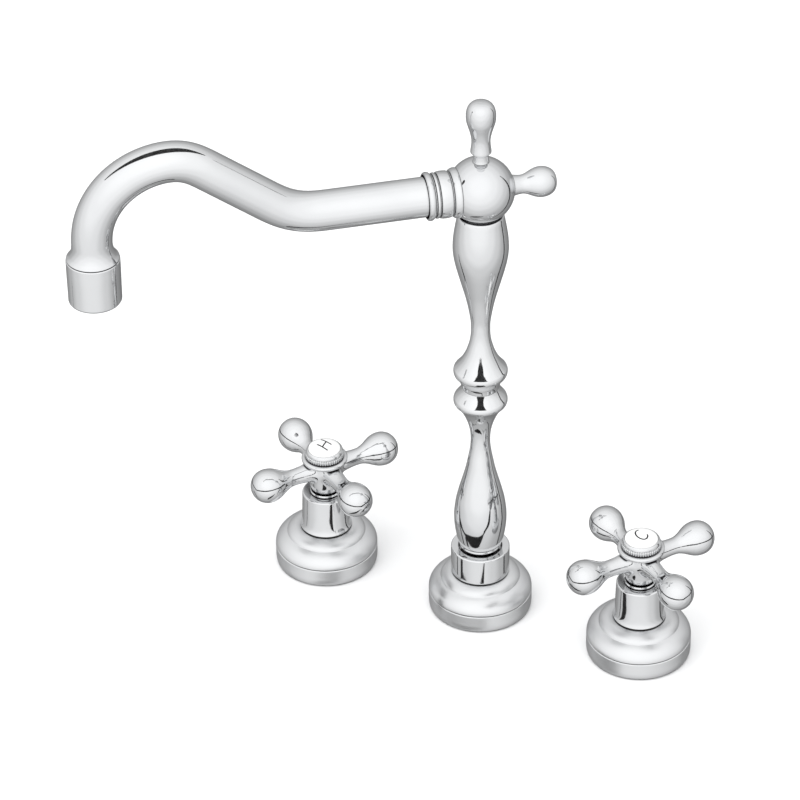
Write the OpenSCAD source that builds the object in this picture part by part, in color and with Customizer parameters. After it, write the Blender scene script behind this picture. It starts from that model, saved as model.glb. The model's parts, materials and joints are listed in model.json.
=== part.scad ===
// Three-hole bathroom mixer: two cross-handle side valves and a tall swivel spout.
// Millimetres, +Z up. The origin is the spout axis on the deck top; +X runs from the
// hot valve to the cold one, and -Y is the user's side.

/* [Layout] */
// Distance between neighbouring deck holes
hole_pitch = 101.6; // [95:0.1:110]
// Spout turned from straight ahead towards the hot valve, degrees
spout_turn = 50.6; // [0:0.1:180]
// Direction of the first handle arm from +X, degrees
handle_turn = 55.2; // [0:0.1:90]

/* [Deck flanges] */
// Radius of the base rings and domed flanges
flange_r = 30.3; // [26:0.1:36]
// Height of the seam between base ring and flange
seam_z = 11.6; // [8:0.1:15]
// Height of the flange's flat top
flange_top_z = 25; // [20:0.1:30]
// Greatest deck thickness that the mixer clamps
deck_t = 25; // [10:1:40]

/* [Handles] */
// Distance from the valve axis to the middle of each knob
knob_x = 37.9; // [30:0.1:45]
// Radius of the knobs
knob_r = 10.1; // [8:0.1:12]
// Height of the arms' axis above the deck
arm_z = 66.3; // [60:0.1:75]
// Radius of the round plate on top of the hub
plate_r = 13.6; // [12:0.1:16]
// Height of that plate's top
plate_z = 74.6; // [70:0.1:80]
// Radius of the porcelain button
button_r = 9.6; // [8:0.1:11]

/* [Spout] */
// Height of the horizontal part of the spout, and of the ball
spout_z = 287.1; // [260:0.1:310]
// Outside radius of the spout tube
tube_r = 11.25; // [9:0.05:13]
// Wall of the spout tube
tube_wall = 1.5; // [1:0.1:2.5]
// Where the horizontal part ends and the tube starts to rise
rise_x = 91; // [70:0.1:110]
// Radius of the bend into the rise
rise_r = 42; // [30:0.1:60]
// Sine of the rise's slope
rise_sin = 0.6; // [0.3:0.01:0.8]
// Length of the straight rise
rise_len = 50.5; // [20:0.1:60]
// Radius of the bend onto the crest
crest_r = 25.5; // [20:0.1:50]
// Radius of the bend from the crest down to the outlet
drop_r = 44.6; // [30:0.1:60]
// Radius of the ball at the top of the column
ball_r = 18.95; // [15:0.05:24]
// Outside radius of the swivel collar
collar_r = 17.15; // [15:0.05:20]
// Height of the swivel collar's top
collar_top_z = 42.5; // [36:0.1:50]

/* [Fits] */
// Radial gap of the swivel and the valve stems
run_gap = 0.05; // [0.01:0.01:0.1]
// Radial gap between pieces that are screwed together
screw_gap = 0.03; // [0.01:0.01:0.1]

/* [Hidden] */
$fn = 96;
eps = 0.02;
tube_in = tube_r - tube_wall;
shank_r = 13.2;
shank_disc_r = 24;
shank_end_z = -50;
socket_r = 10;
spigot_r = socket_r - run_gap;
ring_bore = 14.45;
stem_r = 4.5;
inlet_r = 10.48;
copper_r = 5;
branch_z = -60;
tee_x = 23;
branch_x = 20;
stub_r = 7;
port_x = 2.7;
port_r = 1.8;
rise_deg = asin(rise_sin);
rise_cos = sqrt(1 - rise_sin * rise_sin);
outlet_x = rise_x + (rise_r + crest_r) * rise_sin + rise_len * rise_cos + drop_r;
crest_z = spout_z + (rise_r + crest_r) * (1 - rise_cos) + rise_len * rise_sin;
drop_z = crest_z - drop_r;
flare_z = 275.9;
bend_swell = 0.02;
bend_lap = 0.2;

// ---------- helpers ----------

// A turned piece: [radius, height] points around a closed section
module lathe(section) {
    rotate_extrude() polygon(section);
}

module ring(r_out, r_in, z0, z1) {
    translate([0, 0, z0])
        difference() {
            cylinder(r = r_out, h = z1 - z0);
            translate([0, 0, -1]) cylinder(r = r_in, h = z1 - z0 + 2);
        }
}

module hex_ring(flats, r_in, z0, z1) {
    translate([0, 0, z0])
        difference() {
            cylinder(d = flats / cos(30), h = z1 - z0, $fn = 6);
            translate([0, 0, -1]) cylinder(r = r_in, h = z1 - z0 + 2);
        }
}

module at_valve(side) {
    translate([side * hole_pitch, 0, 0]) children();
}

module at_every_hole() {
    for (side = [-1, 0, 1]) at_valve(side) children();
}

// Local +X becomes the direction the spout points in
module along_spout() {
    rotate([0, 0, 270 - spout_turn]) children();
}

// Local +Z becomes the spout's horizontal axis, starting at the ball's centre
module on_spout_axis() {
    along_spout() translate([0, 0, spout_z]) rotate([0, 90, 0]) children();
}

// ---------- deck flanges, the same at all three holes ----------

module base_ring() {
    color("silver")
        lathe([
            [24.6, 0], [flange_r - 1.5, 0], [flange_r - 0.5, 1.2], [flange_r, 4],
            [flange_r, seam_z - 0.5], [flange_r - 0.5, seam_z], [ring_bore + 0.6, seam_z],
            [ring_bore + 0.6, 5.4], [24.6, 5.4]
        ]);
}

module flange() {
    color("silver")
        lathe([
            [27.2, seam_z + eps], [flange_r - 0.5, seam_z + eps], [flange_r, seam_z + 0.5],
            [flange_r, 13.2], [29.7, 15.1], [28.6, 16.9], [27, 18.6], [25.2, 19.9],
            [23.7, 20.6], [23.2, 20.7], [23.1, 21.3], [22.3, 22.4], [20.9, 23.6],
            [19.2, 24.5], [17.6, 24.9], [16.4, flange_top_z], [ring_bore + 0.1, flange_top_z],
            [ring_bore + 0.1, 22], [19.5, 21], [23, 17.8], [26, 15], [27.2, 13]
        ]);
}

// ---------- side valves, modelled about their own axis ----------

module shroud() {
    color("silver")
        lathe([
            [13.4, flange_top_z + eps], [15.3, flange_top_z + eps], [15.2, 25.8], [14.75, 27.2],
            [14.4, 29.5], [13.9, 40], [13.65, 48.6], [13.1, 49.3], [9.4, 49.3],
            [9.4, 47.6], [12.5, 47.2], [12.6, 40], [13, 30]
        ]);
}

// Screws into the valve body, holds the cartridge down and guides the stem
module bonnet() {
    color("silver")
        difference() {
            lathe([
                [0, 38.2], [9.5, 38.2], [9.5, 41.5], [11.4, 41.5], [11.4, 46.8], [9, 46.8],
                [9, 48.9], [8.1, 49.2], [8.1, 49.5], [9, 49.8], [9, 50.3], [8.6, 50.9], [0, 50.9]
            ]);
            translate([0, 0, 30]) cylinder(r = stem_r + run_gap, h = 40);
            translate([0, 0, 46]) cylinder(r = 6.6, h = 3);
        }
}

// Water rises through the middle to the discs and returns beside it to the branch, on the X side given
module valve_body(side) {
    color("goldenrod")
        difference() {
            union() {
                lathe([
                    [0, -92], [inlet_r - 0.8, -92], [inlet_r, -91.2], [inlet_r, -77], [12, -77],
                    [12, -45], [shank_r, -44], [shank_r, 1], [shank_disc_r, 1],
                    [shank_disc_r, 5], [12.2, 5], [12.2, 41.4], [0, 41.4]
                ]);
                translate([0, 0, branch_z]) rotate([0, side * 90, 0]) cylinder(r = stub_r, h = branch_x);
            }
            translate([0, 0, 14]) cylinder(r = 9.55, h = 40);
            translate([0, 0, -100]) cylinder(r = 4, h = 120);
            translate([0, 0, -100]) cylinder(r = 6, h = 26);
            translate([side * 8.3, 0, branch_z]) cylinder(r = 2, h = 80);
            translate([side * 7, 0, branch_z]) rotate([0, side * 90, 0])
                cylinder(r = copper_r + screw_gap, h = 40);
        }
}

// Its skirt is narrower than its head, so water from the side windows can pass down around it
module cartridge() {
    color("goldenrod")
        difference() {
            lathe([[0, 16.1], [9, 16.1], [9, 28.5], [9.5, 28.5], [9.5, 38.1], [0, 38.1]]);
            translate([0, 0, 16]) cylinder(r = 8.3, h = 12);
            translate([0, 0, 27]) cylinder(r = stem_r + run_gap, h = 20);
            translate([0, 0, 31.9]) cylinder(r = 6.1, h = 2.2);
            for (a = [0:90:270]) rotate([0, 0, a]) translate([7, -3, 19]) cube([4, 6, 4.5]);
        }
}

module seat_seal() {
    color("dimgray") ring(6.1, 4.6, 14.05, 16.1);
}

module fixed_disc() {
    color("white")
        difference() {
            translate([0, 0, 16.15]) cylinder(r = 8.2, h = 2.5);
            for (a = [0, 180]) rotate([0, 0, a]) translate([port_x, 0, 15]) cylinder(r = port_r, h = 5);
        }
}

// Its ports open sideways above the face that seals
module moving_disc() {
    color("white")
        difference() {
            translate([0, 0, 18.7]) cylinder(r = 8.15, h = 2.5);
            for (a = [90, 270])
                rotate([0, 0, a]) {
                    translate([port_x, 0, 18]) cylinder(r = port_r, h = 5);
                    translate([port_x, -port_r, 19.9]) cube([10, 2 * port_r, 3]);
                }
        }
}

// Turned spindle with a foot on the disc and a square end for the handle
module stem() {
    color("goldenrod")
        difference() {
            union() {
                lathe([
                    [0, 21.25], [8.1, 21.25], [8.1, 26.5], [stem_r, 26.5], [stem_r, 32.1],
                    [3.6, 32.1], [3.6, 33.9], [stem_r, 33.9], [stem_r, 56.8], [0, 56.8]
                ]);
                rotate([0, 0, handle_turn]) translate([-3, -3, 56]) cube([6, 6, 13.3]);
            }
            translate([0, 0, 58]) cylinder(r = 2, h = 20);
        }
}

module stem_oring() {
    color("dimgray")
        translate([0, 0, 33]) rotate_extrude() translate([4.8, 0]) circle(r = 0.88, $fn = 32);
}

// One arm about its own axis, from inside the hub to the knob's end
module arm() {
    translate([0, 0, arm_z]) rotate([0, 90, 0])
        lathe([
            [0, 7.5], [6.5, 7.5], [5.8, 11], [5.25, 15], [4.95, 18.5], [4.85, 21], [5.1, 24],
            [6.2, 27.2], [8, 30.6], [9.4, 33.8], [knob_r, knob_x], [knob_r * 0.94, knob_x + 3.5],
            [knob_r * 0.76, knob_x + 6.6], [knob_r * 0.44, knob_x + 9], [0, knob_x + knob_r]
        ]);
}

module handle() {
    color("silver")
        difference() {
            union() {
                lathe([
                    [0, 51.2], [7, 51.2], [8, 51.9], [8.9, 54.5], [9.6, 58.5], [10.2, 64],
                    [10.4, 70], [11, 71.8], [plate_r - 0.5, 72.2], [plate_r, 72.7],
                    [plate_r, plate_z - 0.5], [plate_r - 0.5, plate_z], [0, plate_z]
                ]);
                for (a = [0:90:270]) rotate([0, 0, handle_turn + a]) arm();
            }
            translate([0, 0, 50]) cylinder(r = stem_r + 0.15, h = 7);
            rotate([0, 0, handle_turn]) translate([-3.05, -3.05, 56]) cube([6.1, 6.1, 20]);
            translate([0, 0, 69.4]) cylinder(r = 8, h = 10);
        }
}

module screw() {
    color("gainsboro")
        difference() {
            lathe([
                [0, 59], [1.97, 59], [1.97, 69.45], [4.6, 69.45], [4.6, 71.2], [3.6, 72.4], [0, 72.4]
            ]);
            translate([-5, -0.5, 71.4]) cube([10, 1, 3]);
        }
}

module bezel() {
    color("silver")
        difference() {
            lathe([
                [0, 72.6], [7.95, 72.6], [7.95, plate_z + eps], [10.6, plate_z + eps],
                [11.4, 75.2], [11.4, 77], [11, 77.5], [10.8, 79.2], [10.3, 80.2], [0, 80.2]
            ]);
            translate([0, 0, 76.4]) cylinder(r = button_r + 0.05, h = 6);
            translate([0, 0, 70]) cylinder(r = 6.2, h = 10);
            for (i = [0:35])
                rotate([0, 0, i * 10]) translate([11.55, 0, 74]) cylinder(r = 0.4, h = 3.2);
        }
}

module button() {
    color("white")
        lathe([
            [0, 76.45], [button_r, 76.45], [button_r, 80.1], [9.1, 80.9], [8, 81.6],
            [6, 82.3], [3.4, 82.8], [0, 83]
        ]);
}

// ---------- spout, the fixed part ----------

// Swivel socket: the column's spigot turns in it
module spout_collar() {
    color("silver")
        lathe([
            [ring_bore + screw_gap, flange_top_z + eps], [collar_r - 0.2, flange_top_z + eps],
            [collar_r, 25.4], [collar_r, collar_top_z - 0.6], [collar_r - 0.6, collar_top_z],
            [12.9, collar_top_z], [12.4, collar_top_z - 0.5], [12.4, 39.5], [socket_r, 39],
            [socket_r, 31], [ring_bore + screw_gap, 31]
        ]);
}

module spout_shank() {
    color("goldenrod")
        lathe([
            [6, shank_end_z], [shank_r, shank_end_z], [shank_r, 1], [shank_disc_r, 1], [shank_disc_r, 5],
            [ring_bore, 5], [ring_bore, 30.95], [12, 30.95], [12, 20], [6, 20]
        ]);
}

module tee() {
    color("goldenrod")
        difference() {
            union() {
                translate([0, 0, -76]) cylinder(r = 12.5, h = 16);
                translate([0, 0, -60]) cylinder(r = 16, h = 21.5);
                translate([-tee_x, 0, branch_z]) rotate([0, 90, 0]) cylinder(r = stub_r, h = 2 * tee_x);
            }
            translate([0, 0, shank_end_z - 0.05]) cylinder(r = shank_r + screw_gap, h = 30);
            translate([0, 0, -70]) cylinder(r = 5.5, h = 40);
            translate([-50, 0, branch_z]) rotate([0, 90, 0]) cylinder(r = 4, h = 100);
            for (side = [-1, 1])
                translate([side * 14, 0, branch_z]) rotate([0, side * 90, 0])
                    cylinder(r = copper_r + screw_gap, h = 30);
        }
}

// Rigid copper tube from a side valve to the tee
module crossover(side) {
    x0 = 14.1;
    color("peru")
        translate([side * x0, 0, branch_z]) rotate([0, side * 90, 0])
            ring(copper_r, 4.1, 0, hole_pitch - x0 - 11);
}

// Clamps a copper tube to a stub; local z = 0 is the stub's end
module compression_nut() {
    difference() {
        translate([0, 0, -5]) cylinder(d = 19 / cos(30), h = 10.5, $fn = 6);
        translate([0, 0, -6]) cylinder(r = stub_r + screw_gap, h = 8.5);
        translate([0, 0, -6]) cylinder(r = copper_r + screw_gap, h = 14);
    }
}

module compression_nuts() {
    color("goldenrod")
        for (side = [-1, 1], end = [[tee_x, 1], [hole_pitch - branch_x, -1]])
            translate([side * end[0], 0, branch_z]) rotate([0, side * end[1] * 90, 0])
                compression_nut();
}

// ---------- fixings shared by the three holes ----------

module mounting_nuts() {
    color("goldenrod")
        at_every_hole() hex_ring(36, shank_r + screw_gap, -deck_t - 13, -deck_t - 4.6);
}

module steel_washers() {
    color("gainsboro")
        at_every_hole() ring(22, shank_r + 0.3, -deck_t - 4.55, -deck_t - 3.05);
}

module rubber_washers() {
    color("dimgray") at_every_hole() ring(22, shank_r + 0.1, -deck_t - 3, -deck_t);
}

module deck_gaskets() {
    color("dimgray") at_every_hole() ring(24, shank_r + 0.1, 0, 0.95);
}

// ---------- spout, the part that swivels ----------

module spigot() {
    color("silver")
        difference() {
            lathe([
                [0, 21], [spigot_r - 0.8, 21], [spigot_r, 21.8], [spigot_r, 27.4], [8.9, 27.4],
                [8.9, 29], [spigot_r, 29], [spigot_r, 31.8], [7.9, 31.8], [7.9, 34.2],
                [spigot_r, 34.2], [spigot_r, 35.6], [7.9, 35.6], [7.9, 38], [spigot_r, 38],
                [spigot_r, 42.9], [7, 42.9], [7, 56], [0, 56]
            ]);
            translate([0, 0, 10]) cylinder(r = 4.5, h = 60);
        }
}

module spigot_orings() {
    color("dimgray")
        for (z = [33, 36.8])
            translate([0, 0, z]) rotate_extrude() translate([8.93, 0]) circle(r = 1.02, $fn = 32);
}

// Split ring that keeps the spigot from lifting out of the collar
module swivel_clip() {
    color("white")
        difference() {
            ring(11.4, 8.95, 27.5, 28.9);
            translate([0, -1.5, 27]) cube([20, 3, 3]);
        }
}

module lower_column() {
    color("silver")
        difference() {
            lathe([
                [0, 43], [11.2, 43], [11.8, 43.5], [12.1, 44.2], [11.8, 44.9], [12.2, 45.8],
                [12.9, 47.3], [13.4, 49.3], [13.8, 52], [14.3, 56], [14.95, 59.5], [15.25, 62.7],
                [15.15, 66.5], [14.8, 71], [14.1, 76], [13, 81], [11.6, 86.5], [10.1, 92],
                [8.6, 98], [7.25, 105], [6.2, 111], [5.7, 115.5], [5.6, 119], [5.8, 123],
                [6.5, 127.5], [7.6, 131.5], [9, 135.3], [10.8, 139], [12.9, 142.2],
                [14.6, 144.4], [15.3, 145.6], [15.5, 146.9], [15.3, 148.1], [14.6, 149.2],
                [12.9, 151.4], [11.5, 153.4], [10.9, 154.8], [10.8, 155.4], [0, 155.4]
            ]);
            translate([0, 0, 40]) cylinder(r = 7 + screw_gap, h = 16.2);
            translate([0, 0, 50]) cylinder(r = 3.6, h = 120);
            translate([0, 0, 143.9]) cylinder(r = 6 + screw_gap, h = 20);
        }
}

module column_nipple() {
    color("goldenrod") ring(6, 3.6, 144, 167);
}

module upper_column() {
    color("silver")
        difference() {
            lathe([
                [0, 155.45], [10.8, 155.45], [11, 156.2], [11.6, 158.8], [12.5, 161.2],
                [13.6, 163.2], [14.2, 163.9], [15.1, 164.8], [15.5, 166.2], [15.45, 167.7],
                [14.9, 168.8], [13.4, 170.4], [11.8, 172.5], [10.2, 175.2], [8.6, 178.6],
                [7.2, 182.8], [6.1, 187.2], [5.55, 191.5], [5.45, 195.5], [5.6, 199.8],
                [6.3, 205], [7.4, 211.2], [8.8, 217.5], [10.4, 223.6], [12, 229.6],
                [13.4, 235], [14.6, 240.2], [15.4, 245], [15.7, 249.5], [15.55, 254],
                [15.1, 258.5], [14.5, 262.5], [13.8, 266.5], [13.2, 269.6], [12.8, 270.9], [12.4, 271.2],
                [0, 271.2]
            ]);
            translate([0, 0, 150]) cylinder(r = 6 + screw_gap, h = 17.1);
            translate([0, 0, 160]) cylinder(r = 3.6, h = 120);
            translate([0, 0, 262]) cylinder(r = 9.02, h = 10);
            translate([0, 0, 269.7]) cylinder(r = 10.8, h = 3);
        }
}

// Hollow ball with a threaded foot, two finial sockets and the coupling's seat
module ball_body() {
    color("silver")
        difference() {
            union() {
                translate([0, 0, spout_z]) sphere(r = ball_r);
                lathe([[0, 262.1], [9, 262.1], [9, 271.25], [12.2, 271.25], [12.3, 272.8], [0, 272.8]]);
            }
            translate([0, 0, 255]) cylinder(r = 4, h = 32);
            on_spout_axis() translate([0, 0, -6]) cylinder(r = 7, h = 30);
            on_spout_axis() translate([0, 0, 12.4]) cylinder(r = 15, h = 10);
            on_spout_axis() translate([0, 0, 9]) cylinder(r = 9.5 + screw_gap, h = 10);
            translate([0, 0, spout_z + 10]) cylinder(r = 3 + screw_gap, h = 20);
            translate([0, 0, spout_z + ball_r - 0.65]) cylinder(r = 7, h = 3);
            on_spout_axis() translate([0, 0, -30]) cylinder(r = 3 + screw_gap, h = 20);
            on_spout_axis() translate([0, 0, -ball_r - 1.9]) cylinder(r = 7, h = 3);
        }
}

module top_finial() {
    color("silver")
        lathe([
            [0, 298], [3, 298], [3, 305.45], [4.7, 305.45], [4.4, 306.6], [4.3, 308.4],
            [4.4, 310.3], [4.9, 311.1], [5.8, 311.4], [5.85, 312], [5.6, 314], [5.3, 317],
            [5.3, 319.5], [5.7, 322.3], [6.4, 325.2], [7.3, 328.2], [8.05, 331], [8.3, 333.9],
            [8.15, 336.7], [7.3, 339.6], [5.6, 341.7], [3.2, 342.8], [0, 343.2]
        ]);
}

module rear_finial() {
    color("silver")
        on_spout_axis() mirror([0, 0, 1])
            lathe([
                [0, 11], [3, 11], [3, 17.9], [6, 17.9], [5.7, 19.4], [5.35, 21.5], [5.35, 23.5],
                [5.9, 25.6], [7, 28], [8.1, 30.8], [8.6, 33.6], [8.4, 36.3], [7.4, 39.1],
                [5.7, 41.2], [3.2, 42.4], [0, 42.8]
            ]);
}

// Turned fitting that joins the tube to the ball, with rings and grooves outside
module coupling() {
    color("silver")
        on_spout_axis()
            lathe([
                [7.2, 9.1], [9.5, 9.1], [9.5, 12.45], [13, 12.45], [13.2, 12.9], [14.1, 13.3],
                [14.2, 14.4], [13.9, 15.8], [13.2, 17], [12.3, 17.4], [12.3, 17.8], [12.9, 18.4],
                [13.2, 20.2], [13.2, 22.8], [12.9, 24.4], [12.1, 24.8], [12.1, 25.2],
                [12.8, 25.7], [12.8, 26.7], [12, 27.2], [12, 27.7], [13, 28.3], [13.6, 29.4],
                [13.6, 30.5], [13, 31.4], [12.4, 31.6], [12.1, 30.2], [tube_r + screw_gap, 30.2],
                [tube_r + screw_gap, 17], [7.2, 17]
            ]);
}

// A bend's wall swells a hair both ways, so the straight rise laps cleanly into it
module tube_section(swell = 0) {
    difference() {
        circle(r = tube_r + swell);
        circle(r = tube_in - swell);
    }
}

// A bend in the spout's plane, about [x, z], swept from one angle through another
module bend(x, z, r, from, sweep) {
    translate([x, 0, z]) rotate([90, 0, 0]) rotate([0, 0, from])
        rotate_extrude(angle = sweep) translate([r, 0]) tube_section(bend_swell);
}

// Rises from the horizontal part to the crest, then drops to the bell-mouthed outlet
module spout_tube() {
    x1 = rise_x + rise_r * rise_sin;
    z1 = spout_z + rise_r * (1 - rise_cos);
    x3 = outlet_x - drop_r;
    color("silver")
        along_spout() {
            translate([17.1, 0, spout_z]) rotate([0, 90, 0])
                linear_extrude(rise_x - 17.1) tube_section();
            bend(rise_x, spout_z + rise_r, rise_r, -90, rise_deg);
            translate([x1, 0, z1]) rotate([0, 90 - rise_deg, 0]) translate([0, 0, -bend_lap])
                linear_extrude(rise_len + 2 * bend_lap) tube_section();
            bend(x3, crest_z - crest_r, crest_r, 90, rise_deg);
            bend(x3, drop_z, drop_r, 0, 90);
            translate([outlet_x, 0, 0])
                lathe([
                    [tube_in, drop_z], [tube_in, 268], [13.2, 268], [13.2, flare_z],
                    [14.3, flare_z], [14.7, 276.3], [14.1, 277.1], [13.1, 278.4], [12.3, 280],
                    [11.7, 281.8], [11.35, 284], [tube_r, drop_z]
                ]);
        }
}

module aerator_shell() {
    color("silver")
        along_spout() translate([outlet_x, 0, 0])
            lathe([
                [13.25, 275.85], [14.4, 275.85], [14.9, 275.3], [14.9, 268], [14.8, 258],
                [14.75, 250.1], [14.3, 249.2], [11.4, 249.2], [11.4, 251.2], [12.4, 251.2],
                [12.4, 264], [13.25, 264]
            ]);
}

module aerator_insert() {
    color("whitesmoke")
        along_spout() translate([outlet_x, 0, 0])
            difference() {
                union() {
                    translate([0, 0, 251.3]) cylinder(r = 12.3, h = 13);
                    translate([0, 0, 264.05]) cylinder(r = 13.2, h = 1.9);
                }
                translate([0, 0, 253]) cylinder(r = 10.8, h = 20);
                for (a = [0:45:315]) rotate([0, 0, a]) translate([6.6, 0, 250]) cylinder(r = 1.2, h = 5);
                for (a = [0:60:300]) rotate([0, 0, a]) translate([3, 0, 250]) cylinder(r = 0.9, h = 5);
            }
}

module aerator_washer() {
    color("dimgray") along_spout() translate([outlet_x, 0, 0]) ring(13.1, 9.8, 266, 267.95);
}

// ---------- drawing ----------

at_valve(-1) base_ring();  // hot_base_ring
at_valve(-1) flange();  // hot_flange
at_valve(-1) shroud();  // hot_shroud
at_valve(-1) bonnet();  // hot_bonnet
at_valve(-1) valve_body(1);  // hot_valve_body
at_valve(-1) cartridge();  // hot_cartridge
at_valve(-1) seat_seal();  // hot_seat_seal
at_valve(-1) fixed_disc();  // hot_fixed_disc
at_valve(-1) moving_disc();  // hot_moving_disc
at_valve(-1) stem();  // hot_stem
at_valve(-1) stem_oring();  // hot_stem_oring
at_valve(-1) handle();  // hot_handle
at_valve(-1) screw();  // hot_screw
at_valve(-1) bezel();  // hot_bezel
at_valve(-1) button();  // hot_button
at_valve(1) base_ring();  // cold_base_ring
at_valve(1) flange();  // cold_flange
at_valve(1) shroud();  // cold_shroud
at_valve(1) bonnet();  // cold_bonnet
at_valve(1) valve_body(-1);  // cold_valve_body
at_valve(1) cartridge();  // cold_cartridge
at_valve(1) seat_seal();  // cold_seat_seal
at_valve(1) fixed_disc();  // cold_fixed_disc
at_valve(1) moving_disc();  // cold_moving_disc
at_valve(1) stem();  // cold_stem
at_valve(1) stem_oring();  // cold_stem_oring
at_valve(1) handle();  // cold_handle
at_valve(1) screw();  // cold_screw
at_valve(1) bezel();  // cold_bezel
at_valve(1) button();  // cold_button
base_ring();  // spout_base_ring
flange();  // spout_flange
spout_collar();
spout_shank();
tee();
crossover(-1);  // hot_crossover
crossover(1);  // cold_crossover
compression_nuts();
mounting_nuts();
steel_washers();
rubber_washers();
deck_gaskets();
spigot();
spigot_orings();
swivel_clip();
lower_column();
column_nipple();
upper_column();
ball_body();
top_finial();
rear_finial();
coupling();
spout_tube();
aerator_shell();
aerator_insert();
aerator_washer();
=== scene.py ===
"""Looks of a three-hole basin mixer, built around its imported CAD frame.

Lengths in this script are millimetres in the frame's axes until a mesh is made: +Z is up, the spout's
swivel axis is the origin and the deck top is z = 0.
"""

import json
import math

import bpy
import numpy as np
from mathutils import Matrix, Vector


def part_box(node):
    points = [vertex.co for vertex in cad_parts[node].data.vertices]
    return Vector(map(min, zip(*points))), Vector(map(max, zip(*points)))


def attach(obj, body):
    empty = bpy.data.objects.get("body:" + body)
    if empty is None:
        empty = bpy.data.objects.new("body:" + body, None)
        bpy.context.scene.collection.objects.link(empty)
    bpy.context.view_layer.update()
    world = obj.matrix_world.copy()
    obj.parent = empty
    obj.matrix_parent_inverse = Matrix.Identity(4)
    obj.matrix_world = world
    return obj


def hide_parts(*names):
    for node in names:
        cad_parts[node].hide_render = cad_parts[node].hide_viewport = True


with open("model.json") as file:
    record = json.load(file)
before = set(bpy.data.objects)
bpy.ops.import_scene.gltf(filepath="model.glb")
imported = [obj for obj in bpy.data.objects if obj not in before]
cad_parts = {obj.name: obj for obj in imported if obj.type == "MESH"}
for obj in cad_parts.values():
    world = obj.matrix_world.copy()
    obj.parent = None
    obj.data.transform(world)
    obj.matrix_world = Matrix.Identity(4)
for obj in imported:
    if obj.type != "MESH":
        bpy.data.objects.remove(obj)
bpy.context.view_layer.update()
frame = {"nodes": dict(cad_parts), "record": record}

MM = 0.001
VALVES = ("hot", "cold")


# ---------- places, read from the frame ----------

def middle(node):
    low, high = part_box(node)
    return [(a + b) / 2 / MM for a, b in zip(low, high)]


def low_z(node):
    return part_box(node)[0][2] / MM


def high_z(node):
    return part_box(node)[1][2] / MM


VALVE_X = {v: middle(f"{v}_base_ring")[0] for v in VALVES}
OUTLET = middle("aerator_shell")
REACH = math.hypot(OUTLET[0], OUTLET[1])
SPOUT_YAW = math.atan2(OUTLET[1], OUTLET[0])
SPOUT_AZIMUTH = math.degrees(math.atan2(OUTLET[0], -OUTLET[1]))
SPOUT_Z = 287.1
HANDLE_YAW = math.radians(55.2)


# ---------- outlines ----------

def smooth_run(points, step=0.7):
    """Catmull-Rom curve through a run of points; two points stay a straight line."""
    p = np.array(points, float)
    if len(p) > 2:
        p = np.vstack([2 * p[0] - p[1], p, 2 * p[-1] - p[-2]])
    else:
        count = max(2, int(np.linalg.norm(p[1] - p[0]) / step) + 1)
        return [tuple(q) for q in np.linspace(p[0], p[1], count)]
    out = []
    for a, b, c, d in zip(p, p[1:], p[2:], p[3:]):
        t1 = np.linalg.norm(b - a) ** 0.5
        t2 = t1 + np.linalg.norm(c - b) ** 0.5
        t3 = t2 + np.linalg.norm(d - c) ** 0.5
        count = max(2, int(np.linalg.norm(c - b) / step) + 1)
        for t in np.linspace(t1, t2, count, endpoint=False):
            a1 = (t1 - t) / t1 * a + t / t1 * b
            a2 = (t2 - t) / (t2 - t1) * b + (t - t1) / (t2 - t1) * c
            a3 = (t3 - t) / (t3 - t2) * c + (t - t2) / (t3 - t2) * d
            b1 = (t2 - t) / t2 * a1 + t / t2 * a2
            b2 = (t3 - t) / (t3 - t1) * a2 + (t - t1) / (t3 - t1) * a3
            out.append(tuple((t2 - t) / (t2 - t1) * b1 + (t - t1) / (t2 - t1) * b2))
    out.append(tuple(p[-2]))
    return out


def walk(run, distance):
    """The run without its first `distance`, and the point where the cut falls."""
    left = distance
    for i, (a, b) in enumerate(zip(run, run[1:])):
        length = math.dist(a, b)
        if length > left:
            t = left / length
            cut = (a[0] + (b[0] - a[0]) * t, a[1] + (b[1] - a[1]) * t)
            return [cut, *run[i + 1:]]
        left -= length
    return run[-1:]


def outline(runs, edge=0.25):
    """Joins smooth runs of [radius, height]; each corner between two of them is rounded by edge."""
    runs = [smooth_run(r) for r in runs]
    out = list(runs[0])
    for run in runs[1:]:
        corner = run[0]
        before = walk(out[::-1], edge)[::-1]
        after = walk(run, edge)
        a, b = before[-1], after[0]
        for t in (0.2, 0.4, 0.6, 0.8):
            u = 1 - t
            before.append(tuple(u * u * a[k] + 2 * u * t * corner[k] + t * t * b[k] for k in (0, 1)))
        out = before + after
    return out


# ---------- meshes ----------

def mesh_from(name, verts, faces):
    mesh = bpy.data.meshes.new(name)
    mesh.from_pydata([tuple(v) for v in verts], [], [tuple(f) for f in faces])
    mesh.validate()
    for polygon in mesh.polygons:
        polygon.use_smooth = True
    return mesh


def turned_mesh(name, profile, segments=128):
    """Surface of revolution about local Z; a radius near zero at either end closes to one point."""
    area = sum(r0 * z1 - r1 * z0 for (r0, z0), (r1, z1) in zip(profile, profile[1:] + profile[:1]))
    if area < 0:
        profile = profile[::-1]
    angles = [2 * math.pi * i / segments for i in range(segments)]
    verts, rings = [], []
    for r, z in profile:
        if r < 1e-4:
            rings.append([len(verts)])
            verts.append((0, 0, z * MM))
        else:
            rings.append(list(range(len(verts), len(verts) + segments)))
            verts += [(r * math.cos(a) * MM, r * math.sin(a) * MM, z * MM) for a in angles]
    faces = []
    for low, high in zip(rings, rings[1:]):
        for i in range(segments):
            j = (i + 1) % segments
            quad = [low[i % len(low)], low[j % len(low)], high[j % len(high)], high[i % len(high)]]
            faces.append(list(dict.fromkeys(quad)))
    return mesh_from(name, verts, faces)


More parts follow.
